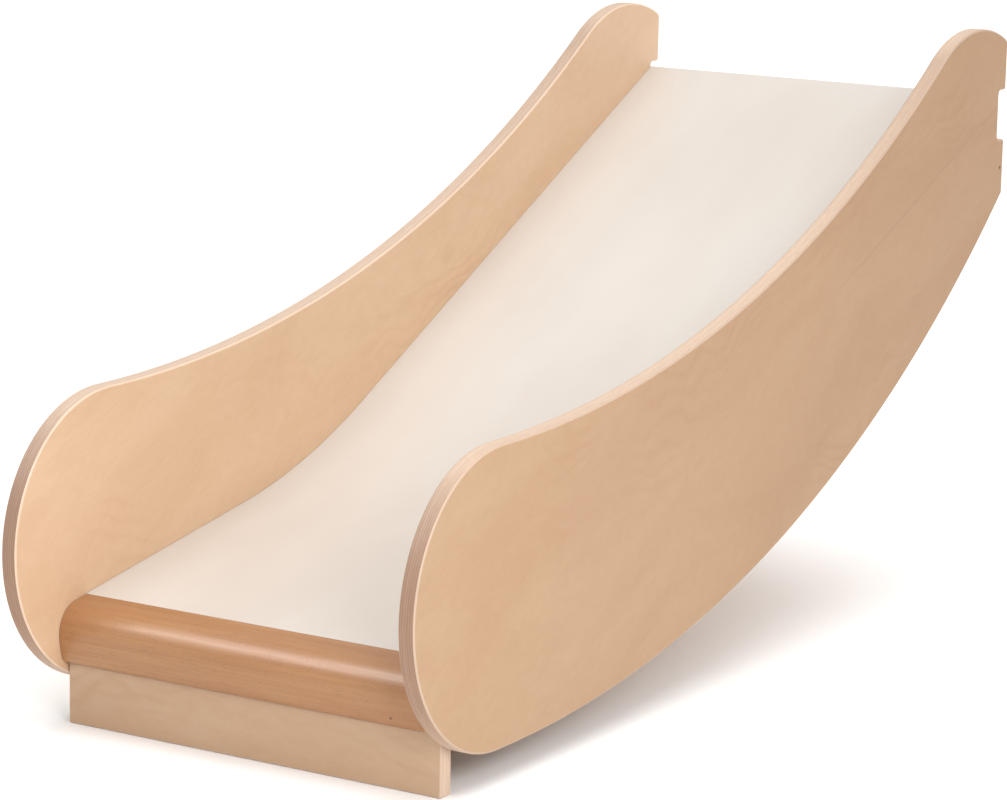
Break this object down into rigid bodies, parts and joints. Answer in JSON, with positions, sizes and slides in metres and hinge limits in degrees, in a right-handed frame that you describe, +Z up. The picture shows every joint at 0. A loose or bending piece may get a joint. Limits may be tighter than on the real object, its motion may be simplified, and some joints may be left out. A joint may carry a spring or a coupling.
{
  "type": "toddler slide",
  "caption": "Low wooden slide: curved plywood side panels with hook notches, bent bed with smooth facing, rounded nose bar and foot board; hooks onto a platform's rim.",
  "frame": {"origin": "where the platform's rim sits: centre line, plane of the hook notches' walls, level of the notches' upper faces", "axes": "+X across to the right seen from the foot of the slide, +Y from the foot up to the platform, +Z up"},
  "size_m": [0.48, 1.23, 0.6385],
  "materials": {
    "panel_ply": "satin lacquered birch plywood",
    "bed_ply": "plain birch plywood",
    "laminate": "satin cream laminate",
    "beech": "satin lacquered beech",
    "batten": "planed batten",
    "dowel": "plain turned beech",
    "screw": "zinc plated"
  },
  "bodies": {
    "root": {"side_panel_left": "panel_ply", "side_panel_right": "panel_ply", "bed_board": "bed_ply", "slide_facing": "laminate", "nose_bar": "beech", "foot_board": "panel_ply", "foot_cleat": "batten", "lower_rail": "batten", "upper_rail": "batten", "rear_rail": "bed_ply", "nose_dowel_left_1": "dowel", "nose_dowel_left_2": "dowel", "nose_dowel_right_1": "dowel", "nose_dowel_right_2": "dowel", "lower_rail_dowel_left_1": "dowel", "lower_rail_dowel_left_2": "dowel", "lower_rail_dowel_right_1": "dowel", "lower_rail_dowel_right_2": "dowel", "upper_rail_dowel_left_1": "dowel", "upper_rail_dowel_left_2": "dowel", "upper_rail_dowel_right_1": "dowel", "upper_rail_dowel_right_2": "dowel", "rear_rail_dowel_left_1": "dowel", "rear_rail_dowel_left_2": "dowel", "rear_rail_dowel_right_1": "dowel", "rear_rail_dowel_right_2": "dowel", "foot_dowel_1": "dowel", "foot_dowel_2": "dowel", "foot_dowel_3": "dowel", "lower_rail_screw_1": "screw", "lower_rail_screw_2": "screw", "upper_rail_screw_1": "screw", "upper_rail_screw_2": "screw", "cleat_screw_up_1": "screw", "cleat_screw_up_2": "screw", "cleat_screw_forward_1": "screw", "cleat_screw_forward_2": "screw"}
  },
  "joints": []
}
